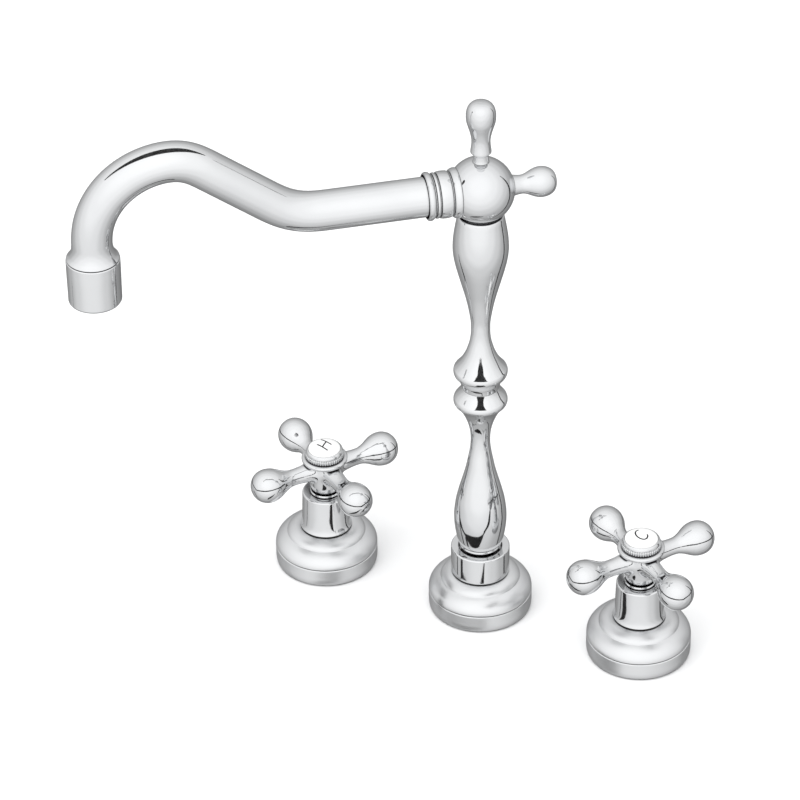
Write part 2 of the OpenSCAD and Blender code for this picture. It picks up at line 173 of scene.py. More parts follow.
def place(mesh, name, body, nodes, look, at=(0, 0, 0), turn=None):
    """Shows a mesh as a piece that rides on a body and stands for CAD nodes."""
    if turn:
        mesh = mesh.copy()
        mesh.transform(turn)
    piece = bpy.data.objects.new(name, mesh)
    bpy.context.scene.collection.objects.link(piece)
    piece.location = Vector(at) * MM
    piece.data.materials.clear()
    piece.data.materials.append(LOOKS.get(look) or EXTRA_LOOKS[look])
    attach(piece, body)
    if nodes:
        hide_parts(*nodes)
    return piece


def spout_axis_turn(flip=False):
    """Turns local +Z onto the spout's horizontal axis, or to the back of it."""
    way = -1 if flip else 1
    return Matrix.Rotation(SPOUT_YAW, 4, "Z") @ Matrix.Rotation(way * math.pi / 2, 4, "Y")


# ---------- materials ----------

def new_look(name, roughness, metallic=0.0, **sockets):
    mat = bpy.data.materials.new(name)
    mat.use_nodes = True
    shader = mat.node_tree.nodes["Principled BSDF"]
    shader.inputs["Metallic"].default_value = metallic
    shader.inputs["Roughness"].default_value = roughness
    for socket, value in sockets.items():
        shader.inputs[socket].default_value = value
    return mat, mat.node_tree.nodes, mat.node_tree.links, shader


def mottle(nodes, links, scale, low, high, socket, detail=3.0, span=(0.35, 0.65)):
    """Noise in object space, spread between two colours, into a colour socket."""
    where = nodes.new("ShaderNodeTexCoord")
    noise = nodes.new("ShaderNodeTexNoise")
    noise.inputs["Scale"].default_value = scale
    noise.inputs["Detail"].default_value = detail
    ramp = nodes.new("ShaderNodeValToRGB")
    ramp.color_ramp.elements[0].position = span[0]
    ramp.color_ramp.elements[0].color = (*low, 1)
    ramp.color_ramp.elements[1].position = span[1]
    ramp.color_ramp.elements[1].color = (*high, 1)
    links.new(where.outputs["Object"], noise.inputs["Vector"])
    links.new(noise.outputs["Fac"], ramp.inputs["Fac"])
    links.new(ramp.outputs["Color"], socket)
    return noise


def vary_roughness(nodes, links, noise, shader, low, high):
    spread = nodes.new("ShaderNodeMapRange")
    spread.inputs["To Min"].default_value = low
    spread.inputs["To Max"].default_value = high
    links.new(noise.outputs["Fac"], spread.inputs["Value"])
    links.new(spread.outputs["Result"], shader.inputs["Roughness"])


def roughen(nodes, links, shader, scale, strength, distance=0.0002):
    grain = nodes.new("ShaderNodeTexNoise")
    grain.inputs["Scale"].default_value = scale
    bump = nodes.new("ShaderNodeBump")
    bump.inputs["Strength"].default_value = strength
    bump.inputs["Distance"].default_value = distance
    links.new(grain.outputs["Fac"], bump.inputs["Height"])
    links.new(bump.outputs["Normal"], shader.inputs["Normal"])


def metal(name, low, high, rough, scale=30):
    mat, nodes, links, shader = new_look(name, rough[0], metallic=1.0)
    noise = mottle(nodes, links, scale, low, high, shader.inputs["Base Color"])
    vary_roughness(nodes, links, noise, shader, *rough)
    return mat


def paint_crease_shade(mat, reach, span):
    """Paints shade into a metal's creases: darkens its colour where ambient occlusion finds it shut in."""
    nodes, links = mat.node_tree.nodes, mat.node_tree.links
    shader = nodes["Principled BSDF"]
    plain = shader.inputs["Base Color"].links[0].from_socket
    shut_in = nodes.new("ShaderNodeAmbientOcclusion")
    shut_in.samples = 8
    shut_in.inputs["Distance"].default_value = reach
    spread = nodes.new("ShaderNodeMapRange")
    spread.inputs["From Min"].default_value = span[0]
    spread.inputs["From Max"].default_value = span[1]
    mix = nodes.new("ShaderNodeMix")
    mix.data_type = "RGBA"
    # painted shade: the occlusion mask mixes this near-black into the colour
    mix.inputs["A"].default_value = (0.03, 0.03, 0.032, 1)
    links.new(shut_in.outputs["AO"], spread.inputs["Value"])
    links.new(spread.outputs["Result"], mix.inputs["Factor"])
    links.new(plain, mix.inputs["B"])
    links.new(mix.outputs["Result"], shader.inputs["Base Color"])


def chrome():
    mat = metal("polished_chrome", (0.68, 0.685, 0.693), (0.72, 0.725, 0.73), (0.05, 0.09), 22)
    # painted shade darkens the polished chrome's colour in its creases
    paint_crease_shade(mat, 0.003, (0.42, 0.78))
    return mat


def satin_chrome():
    mat = metal("satin_chrome", (0.70, 0.705, 0.713), (0.74, 0.745, 0.75), (0.33, 0.39), 22)
    # painted shade darkens the satin chrome's colour in its creases
    paint_crease_shade(mat, 0.0022, (0.3, 0.62))
    return mat


def brass():
    return metal("machined_brass", (0.66, 0.46, 0.19), (0.78, 0.58, 0.28), (0.22, 0.38), 60)


def copper():
    return metal("drawn_copper", (0.72, 0.36, 0.24), (0.86, 0.48, 0.34), (0.18, 0.34), 40)


def steel():
    return metal("stainless_steel", (0.46, 0.46, 0.47), (0.58, 0.58, 0.59), (0.2, 0.34), 50)


def rubber():
    mat, nodes, links, shader = new_look("black_rubber", 0.7)
    mottle(nodes, links, 90, (0.018, 0.018, 0.018), (0.035, 0.035, 0.036), shader.inputs["Base Color"])
    roughen(nodes, links, shader, 900, 0.3)
    return mat


def porcelain():
    glaze = {"Coat Weight": 0.6, "Coat Roughness": 0.04}
    mat, nodes, links, shader = new_look("glazed_porcelain", 0.12, **glaze)
    mottle(nodes, links, 55, (0.90, 0.90, 0.89), (0.95, 0.95, 0.945), shader.inputs["Base Color"])
    return mat


def disc_ceramic():
    mat, nodes, links, shader = new_look("lapped_ceramic", 0.25)
    mottle(nodes, links, 120, (0.80, 0.79, 0.76), (0.88, 0.87, 0.84), shader.inputs["Base Color"])
    return mat


def nylon():
    mat, nodes, links, shader = new_look("natural_nylon", 0.45)
    mottle(nodes, links, 80, (0.78, 0.78, 0.75), (0.86, 0.86, 0.83), shader.inputs["Base Color"])
    return mat


def ink():
    mat, nodes, links, shader = new_look("fired_black_enamel", 0.3)
    mottle(nodes, links, 200, (0.008, 0.008, 0.009), (0.02, 0.02, 0.022), shader.inputs["Base Color"])
    return mat


LOOKS = {
    "chrome": chrome(),
    "brass": brass(),
    "copper": copper(),
    "steel": steel(),
    "rubber": rubber(),
    "porcelain": porcelain(),
    "ceramic_disc": disc_ceramic(),
    "nylon": nylon(),
}
EXTRA_LOOKS = {"satin_chrome": satin_chrome(), "ink": ink()}


def dress_cad_nodes():
    """Gives CAD nodes the looks that the record names; polish doesn't mirror those under the deck."""
    slots = {part["node"]: part["material_slot"] for part in frame["record"]["subparts"]}
    for node, obj in frame["nodes"].items():
        look = LOOKS[slots[node]]
        for material_slot in obj.material_slots:
            material_slot.material = look
        if not obj.material_slots:
            obj.data.materials.append(look)
        if low_z(node) < 0:
            obj.visible_glossy = False


# ---------- deck flanges ----------

BASE_RING = [
    [(24.6, 5.4), (24.6, 0)],
    [(24.6, 0), (28.6, 0)],
    [(28.6, 0), (29.6, 0.7), (30.1, 2.2), (30.3, 4.2), (30.3, 6.5)],
    [(30.3, 6.5), (30.3, 11.2)],
    [(30.3, 11.2), (29.75, 11.6)],
    [(29.75, 11.6), (15.05, 11.6)],
    [(15.05, 11.6), (15.05, 5.4)],
    [(15.05, 5.4), (24.6, 5.4)],
]
FLANGE = [
    [(27.2, 11.65), (29, 11.65)],
    [(29, 11.65), (29.1, 11.95)],
    [(29.1, 11.95), (29.9, 11.95)],
    [(29.9, 11.95), (30.3, 12.35)],
    [(30.3, 12.35), (30.2, 13.6), (29.75, 15.1), (28.65, 16.9), (27.05, 18.5), (25.2, 19.8),
     (23.25, 20.75)],
    [(23.25, 20.75), (23.0, 21.5), (22.2, 22.5), (20.9, 23.5), (19.2, 24.35), (17.6, 24.8), (16.2, 25)],
    [(16.2, 25), (14.55, 25)],
    [(14.55, 25), (14.55, 22)],
    [(14.55, 22), (19.5, 21), (23, 17.8), (26, 15), (27.2, 13)],
    [(27.2, 13), (27.2, 11.65)],
]


def deck_flanges():
    ring = turned_mesh("base_ring", outline(BASE_RING, 0.2), 160)
    dome = turned_mesh("flange", outline(FLANGE, 0.18), 160)
    for unit, x in (("spout", 0), *VALVE_X.items()):
        place(ring, f"{unit}_turned_ring", "deck_fixed", [f"{unit}_base_ring"], "satin_chrome", (x, 0, 0))
        place(dome, f"{unit}_turned_flange", "deck_fixed", [f"{unit}_flange"], "satin_chrome", (x, 0, 0))


# ---------- side valves ----------

SHROUD = [
    [(13.4, 25.02), (14.3, 25.02)],
    [(14.3, 25.02), (14.35, 25.4)],
    [(14.35, 25.4), (15.05, 25.45)],
    [(15.05, 25.45), (15.3, 25.8), (15.15, 26.4), (14.8, 27.4), (14.5, 29), (14.2, 33), (13.95, 40),
     (13.7, 48.6)],
    [(13.7, 48.6), (13.3, 49.2), (12.8, 49.3)],
    [(12.8, 49.3), (9.4, 49.3)],
    [(9.4, 49.3), (9.4, 47.6)],
    [(9.4, 47.6), (12.5, 47.2)],
    [(12.5, 47.2), (12.6, 40), (13, 30), (13.4, 25.02)],
]
BONNET_TOP = [
    [(4.55, 47.6), (9, 47.6)],
    [(9, 47.6), (9, 48.9)],
    [(9, 48.9), (7.8, 49.2), (7.8, 49.5), (9, 49.8)],
    [(9, 49.8), (9, 50.3)],
    [(9, 50.3), (8.6, 50.8)],
    [(8.6, 50.8), (4.55, 50.8)],
    [(4.55, 50.8), (4.55, 47.6)],
]
BUTTON = [
    [(0, 76.45), (9.6, 76.45)],
    [(9.6, 76.45), (9.6, 79.9)],
    [(9.6, 79.9), (9.3, 80.6), (8.4, 81.3), (6.6, 82.1), (3.6, 82.8), (0, 83)],
]
PLATE = [
    [(8, 71.6), (12.4, 71.9)],
    [(12.4, 71.9), (13.3, 72.3), (13.6, 73.1), (13.5, 73.9), (13.0, 74.4)],
    [(13.0, 74.4), (12.2, 74.6)],
    [(12.2, 74.6), (8, 74.6)],
    [(8, 74.6), (8, 71.6)],
]


def turned_valve_parts():
    shroud = turned_mesh("shroud", outline(SHROUD, 0.15), 128)
    bonnet = turned_mesh("bonnet", outline(BONNET_TOP, 0.1), 96)
    button = turned_mesh("button", outline(BUTTON, 0.2), 96)
    bezel = bezel_mesh()
    handle = handle_mesh()
    for v, x in VALVE_X.items():
        place(shroud, f"{v}_turned_shroud", "deck_fixed", [f"{v}_shroud"], "chrome", (x, 0, 0))
        place(bonnet, f"{v}_bonnet_rings", "deck_fixed", [], "chrome", (x, 0, 0))
        place(button, f"{v}_glazed_button", f"{v}_knob", [f"{v}_button"], "porcelain", (x, 0, 0))
        place(bezel, f"{v}_knurled_bezel", f"{v}_knob", [f"{v}_bezel"], "chrome", (x, 0, 0))
        turn = Matrix.Rotation(HANDLE_YAW, 4, "Z")
        place(handle, f"{v}_cast_handle", f"{v}_knob", [f"{v}_handle"], "chrome", (x, 0, 0), turn)


BEZEL = [
    [(6.2, 74.62), (10.5, 74.62)],
    [(10.5, 74.62), (11.4, 75.0)],
    [(11.4, 75.0), (11.4, 77.1)],
    [(11.4, 77.1), (11.0, 77.5)],
    [(11.0, 77.5), (10.95, 78.4), (10.7, 79.3), (10.2, 80.0), (9.75, 80.2)],
    [(9.75, 80.2), (9.65, 76.4)],
    [(9.65, 76.4), (6.2, 76.4)],
    [(6.2, 76.4), (6.2, 74.62)],
]
KNURLS = 48
KNURL_DEPTH = 0.5
KNURL_ROOT = 10.9
KNURL_BAND = (74.6, 77.6)


def bezel_mesh():
    """Turned ring whose lower band is knurled with rounded teeth."""
    mesh = turned_mesh("bezel", outline(BEZEL, 0.1), KNURLS * 6)
    for vertex in mesh.vertices:
        r = math.hypot(vertex.co.x, vertex.co.y) / MM
        z = vertex.co.z / MM
        if r > KNURL_ROOT and KNURL_BAND[0] < z < KNURL_BAND[1]:
            angle = math.atan2(vertex.co.y, vertex.co.x)
            shrink = 1 - KNURL_DEPTH * (0.5 - 0.5 * math.cos(KNURLS * angle)) / r
            vertex.co.x *= shrink
            vertex.co.y *= shrink
    return mesh


# ---------- cross handle: one casting, its arms flowing into the hub ----------

KNOB_X = 37.9
KNOB_R = 10.1
ARM_Z = 66.3
ARM = [
    (0, 6.6), (8, 6.3), (12, 5.65), (16, 5.1), (20, 4.85), (23.5, 5.05), (27.2, 6.3), (30.6, 8.1),
    (33.8, 9.5), (37.9, 10.1), (41.4, 9.5), (44.5, 7.7), (46.9, 4.5), (48, 0),
]
HUB = [
    [(0, 51.2), (7, 51.2)],
    [(7, 51.2), (8.1, 52.1), (8.9, 54.5), (9.6, 58.5), (10.2, 64), (10.4, 69), (10.8, 73)],
    [(10.8, 73), (0, 73)],
]
HUB_FOOT_Z = HUB[0][0][1]
HUB_LOW = 49
CELL = 0.62
BLEND = 3.2
GRID_MARGIN = 1.5
SETTLING_ROUNDS = 5


def distance_table(curve, u_max, v_max, step=0.1):
    """Signed distance to an open curve (u along an axis, v from it) on a grid; it is negative inside."""
    u, v = np.meshgrid(np.arange(0, u_max, step), np.arange(0, v_max, step), indexing="ij")
    best = np.full(u.shape, 1e9)
    side = np.zeros(u.shape)
    for (ax, ay), (bx, by) in zip(curve, curve[1:]):
        dx, dy = bx - ax, by - ay
        t = np.clip(((u - ax) * dx + (v - ay) * dy) / (dx * dx + dy * dy), 0, 1)
        gap = np.hypot(u - ax - t * dx, v - ay - t * dy)
        nearer = gap < best - 1e-9
        best = np.where(nearer, gap, best)
        side = np.where(nearer, (u - ax) * dy - (v - ay) * dx, side)
    return np.where(side > 0, -best, best)


def look_up(table, u, v, step=0.1):
    """Reads a distance table between its points."""
    i = np.clip(u / step, 0, table.shape[0] - 1.001)
    j = np.clip(v / step, 0, table.shape[1] - 1.001)
    i0, j0 = i.astype(int), j.astype(int)
    fi, fj = i - i0, j - j0
    low = table[i0, j0] * (1 - fj) + table[i0, j0 + 1] * fj
    high = table[i0 + 1, j0] * (1 - fj) + table[i0 + 1, j0 + 1] * fj
    return low * (1 - fi) + high * fi


def smooth_union(a, b, k):
    h = np.clip(k - np.abs(a - b), 0, None) / k
    return np.minimum(a, b) - h * h * h * k / 6


ARM_TABLE = distance_table(smooth_run(ARM, 0.35), u_max=52, v_max=18)
HUB_TABLE = distance_table([(z - HUB_LOW, r) for r, z in outline(HUB, 0.4)], u_max=27, v_max=18)


def handle_field(p):
    """Signed distance to the casting: negative inside. p is an (n, 3) array about the valve axis."""
    x, y, z = p[:, 0], p[:, 1], p[:, 2]
    field = np.maximum(look_up(HUB_TABLE, z - HUB_LOW, np.hypot(x, y)), HUB_FOOT_Z - z)
    for along, across in ((np.abs(x), y), (np.abs(y), x)):
        arm = look_up(ARM_TABLE, along, np.hypot(across, z - ARM_Z))
        field = smooth_union(field, arm, BLEND)
    return field


def surface_net(field, low, high, cell):
    """Closed quad mesh of field = 0: one vertex in each cell that the surface crosses, settled onto it."""
    size = [int(math.ceil((b - a) / cell)) + 1 for a, b in zip(low, high)]
    axes = [a + cell * np.arange(n) for a, n in zip(low, size)]
    grid = np.stack(np.meshgrid(*axes, indexing="ij"), -1).reshape(-1, 3)
    values = np.concatenate([field(part) for part in np.array_split(grid, 16)]).reshape(size)
    inside = values < 0
    corners = [(i, j, k) for i in (0, 1) for j in (0, 1) for k in (0, 1)]
    n = [s - 1 for s in size]
    count = sum(inside[i:i + n[0], j:j + n[1], k:k + n[2]].astype(int) for i, j, k in corners)
    crossed = (count > 0) & (count < 8)
    index = -np.ones(n, int)
    cells = np.argwhere(crossed)
    index[crossed] = np.arange(len(cells))
    points = np.array(low) + cell * (cells + 0.5)
    for _ in range(SETTLING_ROUNDS):
        points = points - field(points)[:, None] * gradient(field, points)
    faces = []
    for axis in range(3):
        b, c = (axis + 1) % 3, (axis + 2) % 3
        step = np.eye(3, dtype=int)
        here = inside[tuple(slice(0, -1) if k == axis else slice(1, -1) for k in range(3))]
        there = inside[tuple(slice(1, None) if k == axis else slice(1, -1) for k in range(3))]
        for flip, hits in ((False, here & ~there), (True, ~here & there)):
            at = np.argwhere(hits) + [0 if k == axis else 1 for k in range(3)]
            ring = [at - step[b] - step[c], at - step[c], at, at - step[b]]
            ring = np.stack([index[tuple(r.T)] for r in ring], 1)
            faces.append(ring[:, ::-1] if flip else ring)
    return points, np.vstack(faces)


def gradient(field, points, h=0.02):
    slopes = []
    for axis in range(3):
        nudge = np.zeros(3)
        nudge[axis] = h
        slopes.append((field(points + nudge) - field(points - nudge)) / (2 * h))
    g = np.stack(slopes, 1)
    return g / np.maximum(np.linalg.norm(g, axis=1, keepdims=True), 1e-6)


def handle_mesh():
    span = KNOB_X + KNOB_R + GRID_MARGIN
    low = (-span, -span, HUB_FOOT_Z - GRID_MARGIN)
    high = (span, span, ARM_Z + KNOB_R + GRID_MARGIN)
    points, faces = surface_net(handle_field, low, high, CELL)
    plate = turned_mesh("plate", outline(PLATE, 0.15), 128)
    offset = len(points)
    verts = [tuple(p * MM) for p in points] + [tuple(v.co) for v in plate.vertices]
    faces = faces.tolist() + [[offset + i for i in f.vertices] for f in plate.polygons]
    return mesh_from("handle", verts, faces)


# ---------- column ----------

COLLAR = [
    [(14.48, 25.02), (16.2, 25.02)],
    [(16.2, 25.02), (16.25, 25.4)],
    [(16.25, 25.4), (16.9, 25.45)],
    [(16.9, 25.45), (17.15, 25.75)],
    [(17.15, 25.75), (17.15, 42)],
    [(17.15, 42), (16.6, 42.5)],
    [(16.6, 42.5), (12.8, 42.5)],
    [(12.8, 42.5), (12.4, 42.1)],
    [(12.4, 42.1), (12.4, 39.3)],
    [(12.4, 39.3), (10, 39)],
    [(10, 39), (10, 31)],
    [(10, 31), (14.48, 31)],
    [(14.48, 31), (14.48, 25.02)],
]
LOWER_COLUMN = [
    [(0, 43), (11.2, 43)],
    [(11.2, 43), (11.9, 43.5), (12.1, 44.2), (11.75, 45)],
    [(11.75, 45), (12.4, 45.8), (13, 47.2), (13.55, 49.3), (14.05, 52), (14.55, 55.2), (14.95, 58.6),
     (15.2, 62.4), (15.2, 66.5), (14.8, 71),
     (14.1, 76), (13, 81), (11.6, 86.5), (10.1, 92), (8.6, 98), (7.25, 105), (6.2, 111), (5.7, 115.5),
     (5.6, 119), (5.8, 123), (6.5, 127.5), (7.6, 131.5), (9, 135.3), (10.8, 139), (12.9, 142.2),
     (14.2, 143.9)],
    [(14.2, 143.9), (14.5, 144.1), (15.1, 144.9), (15.45, 146), (15.45, 147.4), (15.1, 148.5)],
    [(15.1, 148.5), (14.1, 149.9), (12.9, 151.4), (11.6, 153.3), (11.05, 154.5), (10.8, 155.4)],
    [(10.8, 155.4), (0, 155.4)],
]
UPPER_COLUMN = [
    [(0, 155.45), (10.8, 155.45)],
    [(10.8, 155.45), (11.05, 156.6), (11.6, 158.9), (12.5, 161.2), (13.5, 162.9)],
    [(13.5, 162.9), (14.1, 163.2), (14.9, 164.2), (15.4, 165.6), (15.45, 167.1), (15.1, 168.3)],
    [(15.1, 168.3), (13.6, 170.1), (11.8, 172.5), (10.2, 175.2), (8.6, 178.6), (7.2, 182.8),
     (6.1, 187.2), (5.55, 191.5), (5.45, 195.5), (5.6, 199.8), (6.3, 205), (7.4, 211.2), (8.8, 217.5),
     (10.4, 223.6), (12, 229.6), (13.4, 235), (14.6, 240.2), (15.4, 245), (15.7, 249.5), (15.55, 254),
     (15.1, 258.5), (14.5, 262.5), (13.8, 266.5), (13.2, 269.6), (12.8, 270.8)],
    [(12.8, 270.8), (12.4, 271.2)],
    [(12.4, 271.2), (0, 271.2)],
]
BALL_R = 18.95
BALL_FOOT_R = 12.3
BALL_FOOT_Z = 271.25
FINIAL_SEAT_Z = 305.4
FINIAL = [
    [(0, 298), (3, 298)],
    [(3, 298), (3, 305.45)],
    [(3, 305.45), (4.7, 305.45)],
    [(4.7, 305.45), (4.4, 306.6), (4.3, 308.4), (4.4, 310.3), (4.9, 311.15)],
    [(4.9, 311.15), (5.8, 311.4)],
    [(5.8, 311.4), (5.85, 312), (5.6, 314), (5.3, 317), (5.3, 319.5), (5.7, 322.3), (6.4, 325.2),
     (7.3, 328.2), (8.05, 331), (8.3, 333.9), (8.15, 336.7), (7.3, 339.6), (5.6, 341.7), (3.2, 342.8),
     (0, 343.2)],
]
REAR_FINIAL = [
    [(0, 11), (3, 11)],
    [(3, 11), (3, 18)],
    [(3, 18), (6, 18)],
    [(6, 18), (5.65, 19.6), (5.35, 21.7), (5.35, 23.5), (5.9, 25.6), (7, 28), (8.1, 30.8), (8.6, 33.6),
     (8.4, 36.3), (7.4, 39.1), (5.7, 41.2), (3.2, 42.4), (0, 42.8)],
]
COUPLING = [
    [(7.2, 17), (7.2, 9.1)],
    [(7.2, 9.1), (9.5, 9.1)],
    [(9.5, 9.1), (9.5, 12.5)],
    [(9.5, 12.5), (12.7, 12.5)],
    [(12.7, 12.5), (12.8, 12.9)],
    [(12.8, 12.9), (13.7, 13), (14.15, 13.6), (14.15, 14.7), (13.85, 16), (13.2, 17)],
    [(13.2, 17), (12.2, 17.4)],
    [(12.2, 17.4), (12.2, 17.8)],
    [(12.2, 17.8), (12.9, 18.4), (13.2, 20.1), (13.2, 22.9), (12.9, 24.4)],
    [(12.9, 24.4), (12.0, 24.7)],
    [(12.0, 24.7), (12.0, 25.2)],
    [(12.0, 25.2), (12.7, 25.5), (12.85, 26.1), (12.7, 26.8)],
    [(12.7, 26.8), (11.9, 27.2)],
    [(11.9, 27.2), (11.9, 27.7)],
    [(11.9, 27.7), (12.9, 28.2), (13.5, 29.1), (13.6, 30), (13.4, 31), (12.9, 31.5)],
    [(12.9, 31.5), (12.3, 31.6)],
    [(12.3, 31.6), (12.1, 28.3)],
    [(12.1, 28.3), (11.28, 28.3)],
    [(11.28, 28.3), (11.28, 17)],
    [(11.28, 17), (7.2, 17)],
]


def ball_outline():
    """Sphere from its short foot to the finial's seat."""
    start = math.acos(BALL_FOOT_R / BALL_R)
    arc = np.linspace(-start, math.asin((FINIAL_SEAT_Z - SPOUT_Z) / BALL_R), 90)
    sphere = [(BALL_R * math.cos(a), SPOUT_Z + BALL_R * math.sin(a)) for a in arc]
    return [(0, BALL_FOOT_Z), (BALL_FOOT_R - 0.1, BALL_FOOT_Z), *sphere, (0, FINIAL_SEAT_Z)]


def column():
    parts = (
        ("collar", outline(COLLAR, 0.2), "deck_fixed", "spout_collar"),
        ("lower_baluster", outline(LOWER_COLUMN, 0.25), "spout", "lower_column"),
        ("upper_baluster", outline(UPPER_COLUMN, 0.25), "spout", "upper_column"),
        ("ball", ball_outline(), "spout", "ball_body"),
        ("top_ornament", outline(FINIAL, 0.2), "spout", "top_finial"),
    )
    for name, profile, body, node in parts:
        place(turned_mesh(name, profile, 160), f"turned_{name}", body, [node], "chrome")
    centre = (0, 0, SPOUT_Z)
    rear = turned_mesh("rear_ornament", outline(REAR_FINIAL, 0.2), 128)
    place(rear, "turned_rear_ornament", "spout", ["rear_finial"], "chrome", centre, spout_axis_turn(True))
    joint = turned_mesh("coupling", outline(COUPLING, 0.15), 160)
    place(joint, "turned_coupling", "spout", ["coupling"], "chrome", centre, spout_axis_turn())


# ---------- spout tube and outlet ----------

TUBE_R = 11.25
TUBE_START = 17.1
RISE_X = 91
RISE_LEN = 50.5
RISE_DEG = math.degrees(math.asin(0.6))
BENDS = ((42, RISE_DEG), (25.5, -RISE_DEG), (44.6, -90))
SHELL_TOP = high_z("aerator_shell")
BELL = [
    (11.25, 10.45), (11.35, 8.2), (11.7, 6.0), (12.3, 4.2), (13.1, 2.6), (14.0, 1.5), (14.6, 0.8),
    (14.5, 0.45),
]
SOCKET_R = 13.2
SOCKET_DEPTH = 7.85
BORE_R = 9.75
SHELL = [
    [(13.25, 275.85), (14.5, 275.85)],
    [(14.5, 275.85), (14.9, 275.4)],
    [(14.9, 275.4), (14.9, 268), (14.8, 258), (14.75, 250.2)],
    [(14.75, 250.2), (14.2, 249.2)],
    [(14.2, 249.2), (11.4, 249.2)],
    [(11.4, 249.2), (11.4, 251.2)],
    [(11.4, 251.2), (12.4, 251.2)],
    [(12.4, 251.2), (12.4, 264)],
    [(12.4, 264), (13.25, 264)],
    [(13.25, 264), (13.25, 275.85)],
]


def tube_path(step=1.5, fine_step=0.25, ease=7.0):
    """Centreline [x, z] in the spout's plane: heading by arc length, eased where bends start and end."""
    lengths = [RISE_X - TUBE_START]
    turns = [0.0]
    for i, (radius, angle) in enumerate(BENDS):
        lengths.append(radius * math.radians(abs(angle)))
        turns.append(math.radians(angle))
        if i == 0:
            lengths.append(RISE_LEN)
            turns.append(0.0)
    stations = np.concatenate([[0], np.cumsum(lengths)])
    headings = np.concatenate([[0], np.cumsum(turns)])
    fine = np.arange(0, stations[-1], fine_step)
    offsets = np.linspace(-ease, ease, 29)
    nearby = [np.clip(fine + offset, 0, stations[-1]) for offset in offsets]
    eased = np.mean([np.interp(s, stations, headings) for s in nearby], 0)
    x = TUBE_START + np.concatenate([[0], np.cumsum(np.cos(eased[:-1]) * fine_step)])
    z = SPOUT_Z + np.concatenate([[0], np.cumsum(np.sin(eased[:-1]) * fine_step)])
    x += (REACH - x[-1]) * fine / fine[-1]
    bell_top = SHELL_TOP + BELL[0][1] + 0.5
    picks = np.arange(0, len(fine), int(step / fine_step)).tolist()
    return [(x[i], z[i], eased[i]) for i in picks if z[i] > bell_top or fine[i] < RISE_X]


def tube_mesh(segments=96):
    """The tube swept along its path, its bell mouth, and the wall turned in at both ends."""
    rings = [(x, z, heading, TUBE_R) for x, z, heading in tube_path()]
    down = -math.pi / 2
    rings += [(REACH, SHELL_TOP + lift, down, r) for r, lift in smooth_run(BELL, 0.4)]
    rings += [(REACH, SHELL_TOP + BELL[-1][1], down, SOCKET_R)]
    rings += [(REACH, SHELL_TOP - SOCKET_DEPTH, down, r) for r in (SOCKET_R, BORE_R)]
    verts, faces = [], []
    for x, z, heading, r in rings:
        for i in range(segments):
            a = 2 * math.pi * i / segments
            side = r * math.sin(a)
            up = r * math.cos(a)
            point = (x - up * math.sin(heading), side, z + up * math.cos(heading))
            verts.append([c * MM for c in point])
    for k in range(len(rings) - 1):
        for i in range(segments):
            j = (i + 1) % segments
            a, b = k * segments, (k + 1) * segments
            faces.append((a + i, a + j, b + j, b + i))
    faces.append(tuple(range(segments))[::-1])
    last = (len(rings) - 1) * segments
    faces.append(tuple(last + i for i in range(segments)))
    return mesh_from("tube", verts, faces)


def spout():
    yaw = Matrix.Rotation(SPOUT_YAW, 4, "Z")
    place(tube_mesh(), "swept_spout_tube", "spout", ["spout_tube"], "chrome", (0, 0, 0), yaw)
    at_outlet = (OUTLET[0], OUTLET[1], 0)
    shell = turned_mesh("shell", outline(SHELL, 0.2), 160)
    place(shell, "turned_aerator_shell", "spout", ["aerator_shell"], "chrome", at_outlet)


# ---------- plain letters on the buttons ----------

LETTER_H = 8
STROKE = 0.45
STROKE_LIFT = (-0.1, 0.04)
LETTER_TURN = math.radians(94)
LETTER_LEAN = 0.35


def dome_z(r):
    """Height of the porcelain's surface at a radius, from the button's outline."""
    dome = smooth_run(BUTTON[2])
    radii = [p[0] for p in dome][::-1]
    heights = [p[1] for p in dome][::-1]
    return float(np.interp(r, radii, heights))


def stroke_mesh(name, lines):
    """Fine flat-topped strokes laid over the dome: each line is a list of [x, y] points."""
    verts, faces = [], []
    for line in lines:
        p = np.array(smooth_run(line, 0.3))
        along = np.gradient(p, axis=0)
        along /= np.linalg.norm(along, axis=1, keepdims=True)
        across = np.stack([-along[:, 1], along[:, 0]], 1) * STROKE
        base = len(verts)
        for centre, half in zip(p, across):
            for way in (1, -1):
                x, y = centre + way * half
                top = dome_z(math.hypot(x, y))
                verts += [(x * MM, y * MM, (top + lift) * MM) for lift in STROKE_LIFT]
        n = len(p)
        for i in range(n - 1):
            a, b = base + 4 * i, base + 4 * (i + 1)
            faces += [(a + 1, b + 1, b + 3, a + 3), (a, a + 2, b + 2, b)]
            faces += [(a, b, b + 1, a + 1), (a + 2, a + 3, b + 3, b + 2)]
        faces += [(base, base + 1, base + 3, base + 2)]
        end = base + 4 * (n - 1)
        faces += [(end, end + 2, end + 3, end + 1)]
    return mesh_from(name, verts, faces)


def letters():
    half = LETTER_H / 2
    wide = half * 0.72
    mark_h = [
        [(-wide, -half), (-wide, half)],
        [(wide, -half), (wide, half)],
        [(-wide, 0), (wide, 0)],
    ]
    open_end = math.radians(48)
    sweep = np.linspace(open_end, 2 * math.pi - open_end, 15)
    mark_c = [[(half * 0.9 * math.cos(a), half * math.sin(a)) for a in sweep]]
    for v, mark in (("hot", mark_h), ("cold", mark_c)):
        slanted = [[(px + LETTER_LEAN * py, py) for px, py in line] for line in mark]
        mesh = stroke_mesh(f"{v}_mark", slanted)
        turn = Matrix.Rotation(LETTER_TURN, 4, "Z")
        place(mesh, f"{v}_button_mark", f"{v}_knob", [], "ink", (VALVE_X[v], 0, 0), turn)


# ---------- stage, light and camera ----------

CAMERA_AZIMUTH = 25.4
CAMERA_ELEVATION = 38.0


